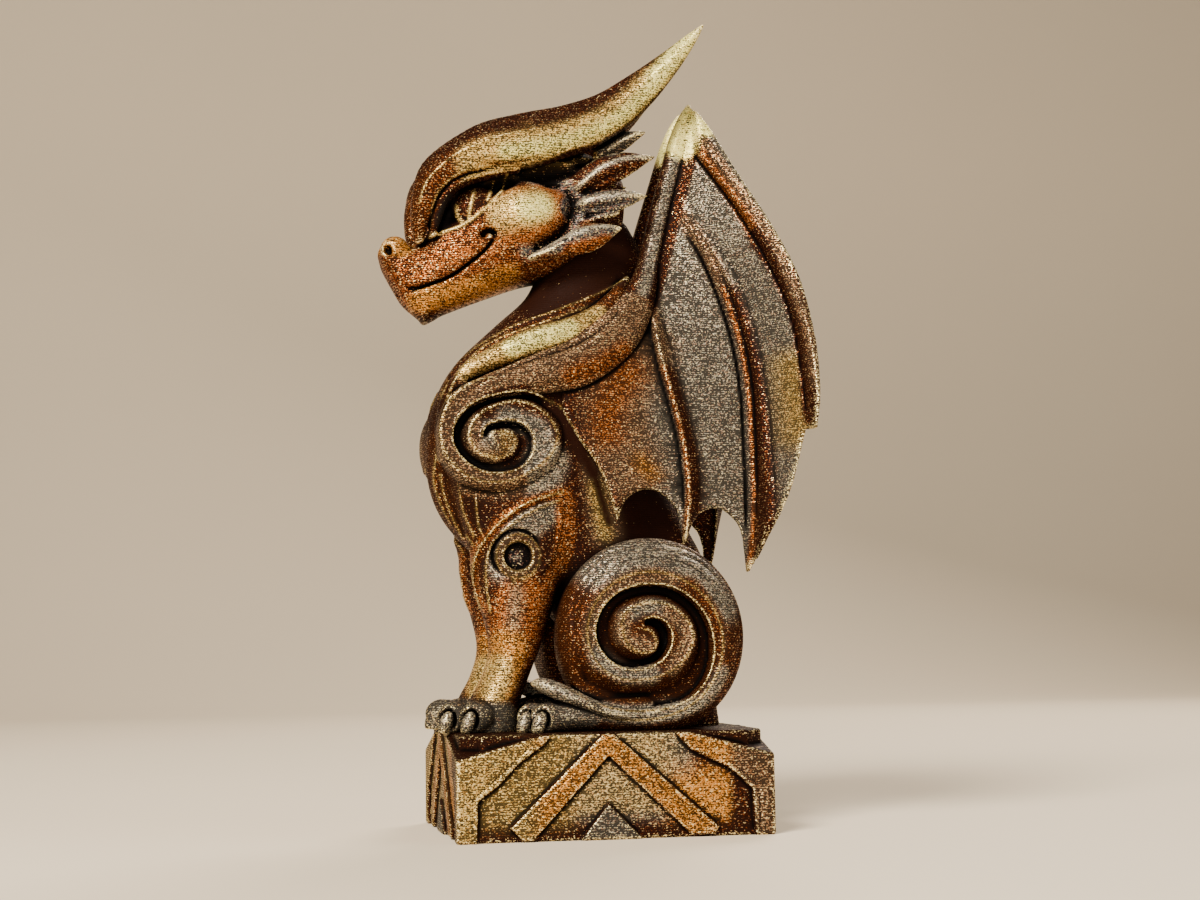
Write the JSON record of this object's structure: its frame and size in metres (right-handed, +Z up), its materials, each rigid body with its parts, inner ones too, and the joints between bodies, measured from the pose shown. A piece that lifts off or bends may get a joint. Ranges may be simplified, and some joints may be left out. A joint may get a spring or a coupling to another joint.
{
  "type": "dragon figurine",
  "caption": "Seated winged dragon figurine with swept horns and scroll carving on its shoulders and haunches, on a low plinth with chevron relief.",
  "frame": {"origin": "centre of the plinth's underside", "axes": "+Z up, the dragon looks along -X and its left side faces -Y, symmetric about the plane Y = 0"},
  "size_m": [0.0537, 0.0406, 0.1052],
  "materials": {
    "dragon_finish": "layered plastic print under a black coat, dry-brushed with copper, gold and silver metallic wax, brightest on the raised edges and black in the grooves",
    "plinth_finish": "layered plastic print under a black coat, dry-brushed with copper and gold metallic wax, brighter on the relief"
  },
  "bodies": {
    "root": {"dragon": "dragon_finish", "plinth": "plinth_finish"}
  },
  "joints": []
}
